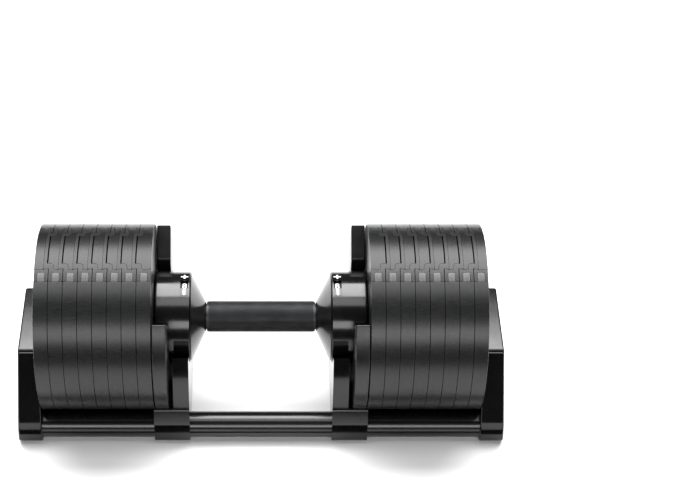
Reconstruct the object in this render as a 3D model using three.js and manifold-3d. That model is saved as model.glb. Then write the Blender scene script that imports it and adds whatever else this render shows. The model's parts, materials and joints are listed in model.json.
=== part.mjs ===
// An adjustable dumbbell standing in its storage tray.
// Millimetres, +X to the right along the handle, +Y to the back, +Z up, the floor at Z = 0.
import * as THREE from 'three';
import { mergeVertices } from 'three/addons/utils/BufferGeometryUtils.js';
import Module from 'manifold-3d';

const wasm = await Module();
wasm.setup();

// ---- driving dimensions -------------------------------------------------------------------
const AXIS_Z = 101; // height of the handle's axis above the floor
const GAP = 0.3; // clearance between neighbouring pieces

const PLATE_R = 92.6;
const PLATES_PER_SIDE = 8;
const PITCH = 14.05; // from one weight plate to the next
const PLATE_T = PITCH - GAP;
const STACK_X = 105.2; // inner face of the innermost plate

const SLOT_HALF = 38.4; // half width of the key slot in the top of a plate
const SLOT_FLOOR = 20; // the slot's floor, above the axis
const WEB_IN = 3.6; // the plate's web inside the slot, measured from the outer face
const WEB_OUT = 10.3;
const WEB_TOP = 29.6; // how near the middle the web reaches
const TONGUE_OUT = -1.2; // the plate's tongue stands proud of the outer face
const TONGUE_IN = 8.9;
const BRIDGE = 8; // height of the last liner's bridge under the tongue
const TONGUE_HALF = 19.4;
const TONGUE_FOOT_HALF = 26.2;
const TONGUE_FOOT_OUT = 4.9;
const KEY_TIP = 4.9; // how far the liner's dovetail key reaches past the outer face
const KEY_TIP_HALF = 25.9;
const KEY_NECK_HALF = 25;
const HOOK_R = 3;

const ROD_R = 9.5;
const ROD_LENGTH = 168;
const ROD_END_X = 210.4; // outer end of a rod at the heaviest setting
const ROD_HOLE_R = 10.2;
const ROD_SPLIT = 0.2; // half of the gap between the two half-round rods

const SETTINGS = 16;
const DIAL_STEP = 2 * Math.PI / SETTINGS;
const ROD_TRAVEL = (SETTINGS - 1) * PITCH / 2;
const DIAL_SWEEP = (SETTINGS - 1) * DIAL_STEP;
const FOLLOWER_X = 46.5; // follower stud of each rod at the heaviest setting
const FOLLOWER_R = 1.9;
const FOLLOWER_TIP_R = 12.4;
const GROOVE_R = 3;
const GROOVE_CENTRE_R = 11.4;

const GRIP_HALF = 54;
const GRIP_R = 15.5;
const NECK_R = 13;
const NECK_END_X = 79.3;

const HOUSING_R = 45.3;
const HOUSING_WALL = 2.7;
const HOUSING_IN_X = 69.8;
const HOUSING_OUT_X = 104.5;
const HOUSING_END_WALL = 6;
const WINDOW_X = 75.4;
const WINDOW_WIDTH = 7.8;
const WINDOW_LENGTH = 20;
const WINDOW_TILT = THREE.MathUtils.degToRad(6.5); // from the top towards the user
const CONE_R = 44.2;
const CONE_TIP_R = 14.6;
const CONE_TIP_X = 54.7;
const CONE_END_X = 69.3;
const CONE_WALL = 3.4;

const DIAL_R = 42;
const DIAL_RIM = 5;
const DIAL_IN_X = 70.3;
const DIAL_OUT_X = 79.5;
const DIAL_WEB = 2.4;
const DIAL_HUB_R = 16.5;
const NOTCH_DEPTH = 3;
const NOTCH_WIDTH = 5;

const PIN_X = 83.5;
const PIN_HALF = 2.5;
const PIN_TOP = -30; // heights of the lock pin are measured from the axis
const PIN_BOTTOM = -45;
const TOOTH_X = 74.2;
const TOOTH_HALF = 2;
const SPRING_SEAT = -18;
const SPRING_R = 2.2;
const SPRING_WIRE_R = 0.5;
const SPRING_TURNS = 5;

const SADDLE_R = 46; // the inner stand's seat for the housing
const STAND_IN_X = 71;
const STAND_OUT_X = 86.6;
const BLOCK_OUT_X = 106.4;
const BLOCK_HALF = 81;
const BLOCK_TOP_HALF = 75;
const BLOCK_SLOPE_Z = 24; // the block's front leans back above this
const BLOCK_CORNER = 5;
const BLOCK_TOP = 45; // height of the base block above the floor
const STAND_TOP = AXIS_Z + 3.4;
const STAND_LEAN = THREE.MathUtils.degToRad(65); // where the stand's front arc ends, from the top

const CRADLE_IN_X = 90.7;
const CRADLE_OUT_X = 104.5;
const CRADLE_MOUTH_R = 47;
const CRADLE_TIP_ANGLE = THREE.MathUtils.degToRad(50.6); // arm tips, from the top
const CRADLE_SEAT_R = PLATE_R + GAP;

const CAP_IN_X = 219;
const CAP_OUT_X = 239.6;
const CAP_TOP = 98.8;
const CAP_TOP_HALF = 45;
const CAP_HALF = 81.5;
const CAP_SHOULDER = 24; // height where the cap's slanted sides begin
const CAP_WALL = 4;
const CAP_FLARE = 2.3; // degrees, how far the outer face leans in towards its top
const CAP_FOOT_X = 244;
const CAP_CORNER = 8;

const RAIL_Y = 66.6; // centre line of a rail, a round tube
const RAIL_Z = 14.6;
const RAIL_R = 13;
const RAIL_WALL = 2.2;
const RAIL_SIDES = 20;
const RAIL_END_X = 231;
const REAR_RAIL_IN_X = 74;

const BED_HALF = 52;
const BED_BOTTOM = 3.5;
const BED_LIP = 0.5; // flat edge beside the bed's hollow

const BASE_Z = 1; // the tray's hard parts stand this far above the floor, on rubber
const FOOT_T = 3;
const FOOT_HALF = 50;
const FOOT_CORNER = 4;
const FOOT_END_X = [222.5, 236.5];
const FOOT_STAND_X = [75, 102];

const ROUND = 40; // segments of a full circle
const COARSE = 32; // segments of the inner turned pieces
const LONG = 600; // cutters longer than the whole object

// ---- shape helpers --------------------------------------------------------------------------
const { sin, cos, PI, sqrt } = Math;

function bare(geometry) {
  geometry.deleteAttribute('normal');
  geometry.deleteAttribute('uv');
  return mergeVertices(geometry, 1e-4);
}

function solid(geometry) {
  const mesh = bare(geometry);
  const vertProperties = new Float32Array(mesh.attributes.position.array);
  const triVerts = new Uint32Array(mesh.index.array);
  const made = new wasm.Manifold(new wasm.Mesh({ numProp: 3, vertProperties, triVerts }));
  if (made.volume() > 0) return made;
  const flipped = triVerts.map((v, i, all) => all[i - (i % 3) + 2 - (i % 3)]);
  return new wasm.Manifold(new wasm.Mesh({ numProp: 3, vertProperties, triVerts: flipped }));
}

function geometryOf(manifold) {
  const mesh = manifold.getMesh();
  const geometry = new THREE.BufferGeometry();
  const position = new Float32Array(mesh.vertProperties);
  geometry.setAttribute('position', new THREE.BufferAttribute(position, 3));
  geometry.setIndex(new THREE.BufferAttribute(new Uint32Array(mesh.triVerts), 1));
  return geometry;
}

// An outline of [y, z] points, pushed along X from x0 to x1.
const ALONG_X = new THREE.Matrix4().makeBasis(
  new THREE.Vector3(0, 1, 0),
  new THREE.Vector3(0, 0, 1),
  new THREE.Vector3(1, 0, 0),
);

function asShape(outline) {
  if (outline.isShape) return outline;
  return new THREE.Shape(outline.map(([a, b]) => new THREE.Vector2(a, b)));
}

function alongX(outline, x0, x1) {
  const options = { depth: x1 - x0, bevelEnabled: false, curveSegments: ROUND / 4 };
  const geometry = new THREE.ExtrudeGeometry(asShape(outline), options);
  return solid(geometry.translate(0, 0, x0).applyMatrix4(ALONG_X));
}

// An outline of [x, y] points, pushed up from z0 to z1.
function alongZ(outline, z0, z1) {
  const options = { depth: z1 - z0, bevelEnabled: false };
  return solid(new THREE.ExtrudeGeometry(asShape(outline), options).translate(0, 0, z0));
}

// A profile of [radius, x] points turned about the handle's axis.
function turned(profile, segments = ROUND) {
  const points = [...profile, profile[0]].map(([r, x]) => new THREE.Vector2(r, x));
  const geometry = new THREE.LatheGeometry(points, segments).rotateZ(-PI / 2);
  return solid(geometry.translate(0, 0, AXIS_Z));
}

function cylinderX(radius, x0, x1, segments = ROUND) {
  const geometry = new THREE.CylinderGeometry(radius, radius, x1 - x0, segments).rotateZ(-PI / 2);
  return solid(geometry.translate((x0 + x1) / 2, 0, AXIS_Z));
}

function box([x0, x1], [y0, y1], [z0, z1]) {
  const geometry = new THREE.BoxGeometry(x1 - x0, y1 - y0, z1 - z0);
  return solid(geometry.translate((x0 + x1) / 2, (y0 + y1) / 2, (z0 + z1) / 2));
}

function arc(radius, from, to, steps, centreZ = 0) {
  return Array.from({ length: steps + 1 }, (_, i) => {
    const angle = from + (to - from) * i / steps;
    return [radius * sin(angle), centreZ + radius * cos(angle)];
  });
}

const mirrored = (outline) => outline.map(([a, b]) => [-a, b]).reverse();

// A polygon with each corner rounded to the given radius.
function rounded(corners, radius, steps = 3) {
  return corners.flatMap(([x, y], i) => {
    const corner = new THREE.Vector2(x, y);
    const ends = [corners.at(i - 1), corners[(i + 1) % corners.length]].map(([a, b]) => {
      const away = new THREE.Vector2(a, b).sub(corner);
      return corner.clone().add(away.setLength(radius));
    });
    const curve = new THREE.QuadraticBezierCurve(ends[0], corner, ends[1]);
    return curve.getPoints(steps).map((p) => [p.x, p.y]);
  });
}

// ---- weight plates and their dovetail liners ------------------------------------------------
// Plan outlines of the key slot are [s, y]: s is the depth inwards from the plate's outer face.
// The first plate of a stack is the innermost one, whose tongue backs on nothing, and the last
// one is the outermost, which has no key.
function placeOf(index) {
  if (index === 0) return 'first';
  return index === PLATES_PER_SIDE - 1 ? 'last' : 'middle';
}

const plan = (outerX, outline) => outline.map(([s, y]) => [outerX - s, y]);

function plate(outerX, place) {
  const rim = cylinderX(PLATE_R, outerX - 2 * PITCH, outerX + PITCH);
  const disc = cylinderX(PLATE_R, outerX - PLATE_T, outerX);
  const slotRange = [AXIS_Z + SLOT_FLOOR, AXIS_Z + PLATE_R + 1];
  const slot = box([outerX - PITCH, outerX + 1], [-SLOT_HALF, SLOT_HALF], slotRange);
  const upright = (outline) => {
    return alongZ(plan(outerX, outline), slotRange[0] - 1, slotRange[1]).intersect(rim);
  };
  const web = [[WEB_IN, WEB_TOP], [WEB_OUT, WEB_TOP], [WEB_OUT, SLOT_HALF + 1], [WEB_IN, SLOT_HALF + 1]];
  const webBack = web.map(([s, y]) => [s, -y]);
  const middle = [
    [TONGUE_OUT, TONGUE_HALF],
    [TONGUE_FOOT_OUT, TONGUE_HALF],
    [TONGUE_FOOT_OUT, TONGUE_FOOT_HALF],
    [TONGUE_IN, TONGUE_FOOT_HALF],
    ...(place === 'first' ? [[PLATE_T, KEY_NECK_HALF]] : []),
  ];
  const half = place === 'last' ? [[0, TONGUE_FOOT_HALF], [TONGUE_IN, TONGUE_FOOT_HALF]] : middle;
  const bridgeRoom = box(
    [outerX - WEB_IN + GAP, outerX + 1],
    [-SLOT_HALF, SLOT_HALF],
    [slotRange[0], slotRange[0] + BRIDGE + 2 * GAP],
  );
  const tongue = [...half, ...half.map(([s, y]) => [s, -y]).reverse()];
  const stem = place === 'last' ? upright(tongue).subtract(bridgeRoom) : upright(tongue);
  return disc.subtract(slot)
    .add(upright(web))
    .add(upright(webBack))
    .add(stem)
    .subtract(box([outerX, outerX + PITCH], [-SLOT_HALF, SLOT_HALF], [0, slotRange[0] + GAP]))
    .subtract(cylinderX(ROD_HOLE_R, outerX - LONG, outerX + LONG, ROUND / 2));
}

function liner(outerX, place) {
  const hookCorner = arc(HOOK_R, PI / 2, 0, 3).map(([a, b]) => {
    return [TONGUE_FOOT_OUT - GAP - HOOK_R + a, TONGUE_HALF + GAP + HOOK_R - b];
  });
  const hook = [
    [-KEY_TIP, 0],
    [-KEY_TIP, KEY_TIP_HALF],
    [0.2, KEY_NECK_HALF],
  ];
  const keyBack = [
    [TONGUE_FOOT_OUT - GAP, TONGUE_FOOT_HALF + GAP],
    ...hookCorner,
    [TONGUE_OUT - GAP, TONGUE_HALF + GAP],
    [TONGUE_OUT - GAP, 0],
  ];
  const legs = [
    [0.2, SLOT_HALF - GAP],
    [WEB_IN - GAP, SLOT_HALF - GAP],
    [WEB_IN - GAP, WEB_TOP - GAP],
    [WEB_OUT + GAP, WEB_TOP - GAP],
    [WEB_OUT + GAP, SLOT_HALF - GAP],
    [PLATE_T - 0.2, SLOT_HALF - GAP],
    [PLATE_T - 0.2, KEY_NECK_HALF + GAP],
    [PITCH - KEY_TIP, KEY_TIP_HALF + 2 * GAP],
  ];
  const foot = AXIS_Z + SLOT_FLOOR + GAP;
  const top = AXIS_Z + PLATE_R + 1;
  const rim = cylinderX(PLATE_R, outerX - 2 * PITCH, outerX + PITCH);
  if (place === 'last') {
    const arch = [[0.2, KEY_TIP_HALF + 2 * GAP], ...legs];
    const bridge = box(
      [outerX - WEB_IN + 2 * GAP, outerX - 0.2],
      [-KEY_TIP_HALF - 1, KEY_TIP_HALF + 1],
      [foot, foot + BRIDGE],
    );
    return alongZ(plan(outerX, arch), foot, top)
      .add(alongZ(plan(outerX, arch.map(([s, y]) => [s, -y])), foot, top))
      .intersect(rim)
      .add(bridge);
  }
  const front = [...hook, ...legs, ...keyBack];
  const back = front.slice(1, -1).map(([s, y]) => [s, -y]).reverse();
  return alongZ(plan(outerX, [...front, ...back]), foot, top).intersect(rim);
}

// ---- handle ---------------------------------------------------------------------------------
// The helix that a rod's follower runs in, seen from the turning grip.
function groove(side) {
  const margin = 0.12;
  const startAngle = side * PI / 2;
  const points = Array.from({ length: 27 }, (_, i) => {
    const turn = -margin + (DIAL_SWEEP + 2 * margin) * i / 26;
    const x = side * (FOLLOWER_X - turn * ROD_TRAVEL / DIAL_SWEEP);
    const angle = startAngle - turn;
    return new THREE.Vector3(x, GROOVE_CENTRE_R * sin(angle), GROOVE_CENTRE_R * cos(angle));
  });
  const section = new THREE.Shape().absarc(0, 0, GROOVE_R, 0, 2 * PI);
  const options = { steps: 26, curveSegments: 4, extrudePath: new THREE.CatmullRomCurve3(points) };
  return solid(new THREE.ExtrudeGeometry(section, options).translate(0, 0, AXIS_Z));
}

function grip() {
  const tube = turned([
    [ROD_HOLE_R, -NECK_END_X],
    [NECK_R, -NECK_END_X],
    [NECK_R, -GRIP_HALF],
    [GRIP_R, -GRIP_HALF],
    [GRIP_R, GRIP_HALF],
    [NECK_R, GRIP_HALF],
    [NECK_R, NECK_END_X],
    [ROD_HOLE_R, NECK_END_X],
  ], COARSE);
  return tube.subtract(groove(1)).subtract(groove(-1));
}

// side is +1 for the right rod, which is the back half, and -1 for the left one, the front half.
function rod(side) {
  const ends = [side * (ROD_END_X - ROD_LENGTH), side * ROD_END_X].sort((a, b) => a - b);
  const half = arc(ROD_R, 0, side * PI, ROUND / 4).map(([y, z]) => [y, z + AXIS_Z]);
  const bar = alongX(half, ...ends).subtract(
    box([-LONG, LONG], [-ROD_SPLIT, ROD_SPLIT], [0, LONG]),
  );
  const stud = new THREE.CylinderGeometry(FOLLOWER_R, FOLLOWER_R, FOLLOWER_TIP_R - ROD_R / 2, 12);
  stud.translate(side * FOLLOWER_X, side * (FOLLOWER_TIP_R + ROD_R / 2) / 2, AXIS_Z);
  return bar.add(solid(stud));
}

function dial() {
  const rimR = DIAL_R - DIAL_RIM;
  const blank = turned([
    [NECK_R + GAP, DIAL_IN_X],
    [DIAL_R, DIAL_IN_X],
    [DIAL_R, DIAL_OUT_X],
    [rimR, DIAL_OUT_X],
    [rimR, DIAL_IN_X + DIAL_WEB],
    [DIAL_HUB_R, DIAL_IN_X + DIAL_WEB],
    [DIAL_HUB_R, NECK_END_X],
    [NECK_R + GAP, NECK_END_X],
  ], COARSE);
  const notches = Array.from({ length: SETTINGS }, (_, i) => {
    const cutter = new THREE.BoxGeometry(DIAL_OUT_X, NOTCH_WIDTH, 2 * NOTCH_DEPTH);
    cutter.translate(DIAL_IN_X + DIAL_WEB + DIAL_OUT_X / 2, 0, -rimR);
    return solid(cutter.rotateX(i * DIAL_STEP).translate(0, 0, AXIS_Z));
  });
  return notches.reduce((body, notch) => body.subtract(notch), blank);
}

// The half-round hole in a housing's end wall fits the rod of the same side.
function housing(side) {
  const cup = turned([
    [0, HOUSING_OUT_X - HOUSING_END_WALL],
    [HOUSING_R - HOUSING_WALL, HOUSING_OUT_X - HOUSING_END_WALL],
    [HOUSING_R - HOUSING_WALL, HOUSING_IN_X],
    [HOUSING_R - 0.6, HOUSING_IN_X],
    [HOUSING_R, HOUSING_IN_X + 0.6],
    [HOUSING_R, HOUSING_OUT_X - 1.2],
    [HOUSING_R - 1.2, HOUSING_OUT_X],
    [0, HOUSING_OUT_X],
  ]);
  const window = new THREE.BoxGeometry(WINDOW_WIDTH, WINDOW_LENGTH, HOUSING_WALL * 4);
  window.translate(WINDOW_X, 0, HOUSING_R).rotateX(WINDOW_TILT).translate(0, 0, AXIS_Z);
  const pinHole = box(
    [PIN_X - PIN_HALF - GAP, PIN_X + PIN_HALF + GAP],
    [-PIN_HALF - GAP, PIN_HALF + GAP],
    [0, AXIS_Z + PIN_BOTTOM + 8],
  );
  const seat = box(
    [PIN_X - PIN_HALF - 1, HOUSING_OUT_X - 1],
    [-4, 4],
    [AXIS_Z + SPRING_SEAT, AXIS_Z + SPRING_SEAT + 3],
  );
  const rodHole = arc(ROD_R + GAP, 0, side * PI, ROUND / 4).map(([y, z]) => [y, z + AXIS_Z]);
  return cup.subtract(solid(window)).subtract(pinHole).add(seat).subtract(alongX(rodHole, 80, 110));
}

function cone() {
  return turned([
    [NECK_R + 0.4, CONE_TIP_X],
    [CONE_TIP_R, CONE_TIP_X],
    [CONE_R, CONE_END_X],
    [CONE_R - CONE_WALL, CONE_END_X],
    [NECK_R + 0.4, CONE_TIP_X + 1.6],
  ]);
}

function lockPin() {
  const stem = box(
    [PIN_X - PIN_HALF, PIN_X + PIN_HALF],
    [-PIN_HALF, PIN_HALF],
    [AXIS_Z + PIN_BOTTOM, AXIS_Z + PIN_TOP],
  );
  const tooth = box(
    [TOOTH_X, PIN_X],
    [-TOOTH_HALF, TOOTH_HALF],
    [AXIS_Z - (DIAL_R - DIAL_RIM) + 0.4, AXIS_Z + PIN_TOP - 1],
  );
  return stem.add(tooth);
}

function lockSpring() {
  const bottom = AXIS_Z + PIN_TOP + GAP + SPRING_WIRE_R;
  const top = AXIS_Z + SPRING_SEAT - GAP - SPRING_WIRE_R;
  const count = SPRING_TURNS * 6;
  const points = Array.from({ length: count + 1 }, (_, i) => {
    const angle = 2 * PI * i / 6;
    const z = bottom + (top - bottom) * i / count;
    return new THREE.Vector3(PIN_X + SPRING_R * cos(angle), SPRING_R * sin(angle), z);
  });
  const section = new THREE.Shape().absarc(0, 0, SPRING_WIRE_R, 0, 2 * PI);
  const options = { steps: count, curveSegments: 2, extrudePath: new THREE.CatmullRomCurve3(points) };
  return solid(new THREE.ExtrudeGeometry(section, options));
}

// ---- tray -----------------------------------------------------------------------------------
function railBar(grow, y, x0, x1) {
  const circle = arc(RAIL_R + grow, 0, 2 * PI, RAIL_SIDES, RAIL_Z).slice(1);
  return alongX(circle.map(([a, b]) => [a + y, b]), x0, x1);
}

function rail(y, x0, x1) {
  return railBar(0, y, x0, x1).subtract(railBar(-RAIL_WALL, y, x0 - 1, x1 + 1));
}

const bothRails = (x0, x1) => railBar(GAP, -RAIL_Y, x0, x1).add(railBar(GAP, RAIL_Y, x0, x1));

function footRecess(x0, x1) {
  return box([x0 - GAP, x1 + GAP], [-FOOT_HALF - GAP, FOOT_HALF + GAP], [0, FOOT_T + GAP]);
}

function endCap() {
  const corners = [
    [-CAP_HALF, BASE_Z],
    [CAP_HALF, BASE_Z],
    [CAP_HALF, CAP_SHOULDER],
    [CAP_TOP_HALF, CAP_TOP],
    [-CAP_TOP_HALF, CAP_TOP],
    [-CAP_HALF, CAP_SHOULDER],
  ];
  const inset = CAP_WALL;
  const pocket = [
    [-CAP_HALF + inset, BASE_Z + inset],
    [CAP_HALF - inset, BASE_Z + inset],
    [CAP_HALF - inset, CAP_SHOULDER - inset / 2],
    [CAP_TOP_HALF - inset / 2, CAP_TOP - inset],
    [-CAP_TOP_HALF + inset / 2, CAP_TOP - inset],
    [-CAP_HALF + inset, CAP_SHOULDER - inset / 2],
  ];
  const beyond = box([0, LONG], [-LONG, LONG], [-LONG, LONG]);
  return alongX(rounded(corners, CAP_CORNER, 4), CAP_IN_X, CAP_FOOT_X)
    .subtract(beyond.rotate([0, -CAP_FLARE, 0]).translate([CAP_OUT_X, 0, CAP_TOP]))
    .subtract(alongX(rounded(pocket, CAP_CORNER / 2), CAP_IN_X - 1, CAP_OUT_X - CAP_WALL))
    .subtract(bothRails(CAP_IN_X - 1, RAIL_END_X + GAP))
    .subtract(footRecess(FOOT_END_X[0], FOOT_END_X[1]));
}

function innerStand() {
  // The stand's front is a large arc that ends upright on the base block.
  const frontR = (STAND_TOP - BLOCK_TOP) / cos(STAND_LEAN);
  const frontCentre = frontR - BLOCK_TOP_HALF;
  const steps = 8;
  const front = Array.from({ length: steps + 1 }, (_, i) => {
    const angle = PI / 2 + (STAND_LEAN - PI / 2) * i / steps;
    return [frontCentre - frontR * sin(angle), BLOCK_TOP + frontR * cos(angle)];
  });
  const [tipY, tipZ] = front.at(-1);
  // The mouth slopes in at 45 degrees from the arm's tip until it meets the saddle.
  const drop = tipZ - AXIS_Z;
  const sum = -tipY + drop;
  const slope = (sum - sqrt(sum * sum - 2 * (tipY * tipY + drop * drop - SADDLE_R * SADDLE_R))) / 2;
  const mouthY = tipY + slope;
  const mouthZ = tipZ - slope;
  const mouthAngle = Math.atan2(mouthY, mouthZ - AXIS_Z);
  const saddle = arc(SADDLE_R, mouthAngle, -PI, 10, AXIS_Z);
  const left = [[-BLOCK_TOP_HALF, BASE_Z], ...front, [mouthY, mouthZ], ...saddle.slice(1)];
  const arms = [...left, ...mirrored(left).slice(1)];
  const blockCorners = [
    [-BLOCK_HALF, BASE_Z],
    [BLOCK_HALF, BASE_Z],
    [BLOCK_HALF, BLOCK_SLOPE_Z],
    [BLOCK_TOP_HALF, BLOCK_TOP],
    [-BLOCK_TOP_HALF, BLOCK_TOP],
    [-BLOCK_HALF, BLOCK_SLOPE_Z],
  ];
  const block = alongX(rounded(blockCorners, BLOCK_CORNER), STAND_IN_X, BLOCK_OUT_X)
    .subtract(cylinderX(CRADLE_SEAT_R, STAND_OUT_X, LONG));
  return alongX(arms, STAND_IN_X, STAND_OUT_X)
    .add(block)
    .subtract(cylinderX(SADDLE_R, 0, LONG))
    .subtract(railBar(GAP, -RAIL_Y, 0, LONG))
    .subtract(railBar(GAP, RAIL_Y, REAR_RAIL_IN_X - GAP, LONG))
    .subtract(footRecess(FOOT_STAND_X[0], FOOT_STAND_X[1]));
}

function cradlePlate() {
  const tipY = PLATE_R * sin(CRADLE_TIP_ANGLE);
  const tipZ = AXIS_Z + PLATE_R * cos(CRADLE_TIP_ANGLE);
  // The mouth slopes in at 45 degrees from the arms' tips to the U.
  const mouthZ = tipZ - (tipY - CRADLE_MOUTH_R);
  const inner = arc(CRADLE_MOUTH_R, PI, PI / 2, 12, AXIS_Z);
  const cut = [...inner, [CRADLE_MOUTH_R, mouthZ], [tipY, tipZ], [tipY, tipZ + LONG]];
  const opening = [...mirrored(cut), ...cut.slice(1)];
  return cylinderX(PLATE_R, CRADLE_IN_X, CRADLE_OUT_X).subtract(alongX(opening, 0, LONG));
}

function plateBed() {
  const edge = Math.asin((BED_HALF - BED_LIP) / CRADLE_SEAT_R);
  const curve = arc(CRADLE_SEAT_R, PI - edge, PI + edge, 12, AXIS_Z);
  const shoulder = curve[0][1];
  const outline = [
    [-BED_HALF, BED_BOTTOM],
    [BED_HALF, BED_BOTTOM],
    [BED_HALF, shoulder],
    ...curve,
    [-BED_HALF, shoulder],
  ];
  return alongX(outline, BLOCK_OUT_X + GAP, CAP_IN_X - GAP);
}

function foot([x0, x1]) {
  const corners = [[x0, -FOOT_HALF], [x1, -FOOT_HALF], [x1, FOOT_HALF], [x0, FOOT_HALF]];
  return alongZ(rounded(corners, FOOT_CORNER), 0, FOOT_T);
}

// ---- materials ------------------------------------------------------------------------------
const finish = (color, roughness, metalness) => ({ color, roughness, metalness });
const FINISHES = {
  plate: finish(0x1c1d1f, 0.5, 0.5),
  liner: finish(0x232426, 0.6, 0),
  shell: finish(0x0d0d0e, 0.25, 0),
  tray: finish(0x111213, 0.35, 0),
  rail: finish(0x121314, 0.3, 0.4),
  grip: finish(0x17181a, 0.45, 0.7),
  steel: finish(0x9a9ca0, 0.35, 1),
  dial: finish(0x0a0a0b, 0.5, 0),
  rubber: finish(0x161616, 0.9, 0),
};

// ---- assembly -------------------------------------------------------------------------------
const dumbbellInTray = new THREE.Group();

function place(name, made, slot, side = 1) {
  const geometry = geometryOf(side > 0 ? made : made.mirror([1, 0, 0]));
  const mesh = new THREE.Mesh(geometry, new THREE.MeshStandardMaterial(FINISHES[slot]));
  mesh.name = name;
  dumbbellInTray.add(mesh);
}

place('front_rail', rail(-RAIL_Y, -RAIL_END_X, RAIL_END_X), 'rail');
place('grip', grip(), 'grip');

for (const [name, side] of [['left', -1], ['right', 1]]) {
  place(`end_cap_${name}`, endCap(), 'tray', side);
  place(`inner_stand_${name}`, innerStand(), 'tray', side);
  place(`cradle_plate_${name}`, cradlePlate(), 'plate', side);
  place(`rear_rail_${name}`, rail(RAIL_Y, REAR_RAIL_IN_X, RAIL_END_X), 'rail', side);
  place(`plate_bed_${name}`, plateBed(), 'tray', side);
  place(`foot_end_${name}`, foot(FOOT_END_X), 'rubber', side);
  place(`foot_stand_${name}`, foot(FOOT_STAND_X), 'rubber', side);

  place(`housing_${name}`, housing(side), 'shell', side);
  place(`cone_${name}`, cone(), 'shell', side);
  place(`number_dial_${name}`, dial(), 'dial', side);
  place(`lock_pin_${name}`, lockPin(), 'steel', side);
  place(`lock_spring_${name}`, lockSpring(), 'steel', side);
  place(`rod_${name}`, rod(side), 'steel');

  for (let i = 0; i < PLATES_PER_SIDE; i += 1) {
    const outerX = STACK_X + (i + 1) * PITCH - GAP;
    place(`plate_${name}_${i + 1}`, plate(outerX, placeOf(i)), 'plate', side);
    place(`liner_${name}_${i + 1}`, liner(outerX, placeOf(i)), 'liner', side);
  }
}

export default dumbbellInTray;
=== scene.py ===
"""The adjustable dumbbell in its tray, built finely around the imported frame.

Shapes are made in millimetres, in the frame's axes, and go to metres when they become pieces.
X runs along the grip, Y away from the user and Z up.
"""

import json
import math

import bmesh
import bpy
from mathutils import Matrix, Vector


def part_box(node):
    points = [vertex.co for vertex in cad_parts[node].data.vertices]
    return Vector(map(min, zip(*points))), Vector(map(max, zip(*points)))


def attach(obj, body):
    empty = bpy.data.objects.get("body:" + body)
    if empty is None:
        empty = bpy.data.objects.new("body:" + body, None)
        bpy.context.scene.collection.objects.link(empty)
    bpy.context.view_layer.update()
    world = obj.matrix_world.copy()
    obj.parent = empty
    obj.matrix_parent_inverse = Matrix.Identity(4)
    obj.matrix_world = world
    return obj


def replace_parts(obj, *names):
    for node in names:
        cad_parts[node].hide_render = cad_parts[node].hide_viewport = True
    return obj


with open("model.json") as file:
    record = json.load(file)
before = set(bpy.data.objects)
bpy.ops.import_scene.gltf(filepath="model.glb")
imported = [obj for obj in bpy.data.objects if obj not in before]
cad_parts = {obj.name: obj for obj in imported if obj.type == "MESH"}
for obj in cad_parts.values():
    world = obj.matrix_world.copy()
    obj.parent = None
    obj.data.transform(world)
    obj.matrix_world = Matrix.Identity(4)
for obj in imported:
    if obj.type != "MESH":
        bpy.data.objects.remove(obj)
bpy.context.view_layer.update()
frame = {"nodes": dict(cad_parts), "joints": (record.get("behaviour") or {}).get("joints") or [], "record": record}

scene = bpy.context.scene
behaviour = frame["record"]["behaviour"]
BODY_OF = {node: body for body, nodes in behaviour["bodies"].items() for node in nodes}
SLOT_OF = {part["node"]: part["material_slot"] for part in frame["record"]["subparts"]}
SIDES = (("left", -1), ("right", 1))
METRE = 1000.0


def box_mm(node):
    """A CAD node's lowest and highest corners in millimetres."""
    low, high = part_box(node)
    return low * METRE, high * METRE


# ---- sizes in millimetres, from the frame where it has them ---------------------------------
AXIS = next(j for j in frame["joints"] if j["name"] == "grip_turn")["pos_m"][2] * METRE
PLATE_LOW, PLATE_HIGH = box_mm("plate_right_2")
PLATE_R = PLATE_HIGH.y
PLATES = sum(node.startswith("plate_right_") for node in frame["nodes"])
PITCH = box_mm("plate_right_3")[0].x - PLATE_LOW.x
GAP = 0.3
PLATE_T = PITCH - GAP
STACK_X = box_mm("plate_right_1")[0].x

ROD_HOLE_R = 10.2
SLOT_HALF = 38.4
SLOT_FLOOR = AXIS + 20
WEB = (3.6, 10.3)  # the web's span, measured inwards from the plate's outer face
WEB_TOP = 29.6
TONGUE_OUT = -0.6
TONGUE_IN = 8.9
TONGUE_HALF = 19.4
FOOT_OUT = 4.9
FOOT_HALF = 26.2
KEY_TIP = -4.9
KEY_TIP_HALF = 25.9
KEY_NECK_HALF = 25.0
KEY_BACK = -1.9
HOOK_R = 3.0
BRIDGE = 8.0  # height of the last liner's bridge, under the plate's tongue
LINER_INSET = 0.2  # from the plate's faces
WEB_CORNER = 1.4

GRIP_HIGH = box_mm("grip")[1]
GRIP_HALF = 54.0
GRIP_R = GRIP_HIGH.y
NECK_R = 13.0
KNURLS_ROUND = 60
KNURLS_ALONG = 60
KNURL_DEPTH = 0.5
KNURL_TOP = 0.42  # a diamond's flat top, as a share of the whole diamond
PLAIN_END = 1.2  # length without knurling at each end
GRIP_CHAMFER = 0.5

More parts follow.
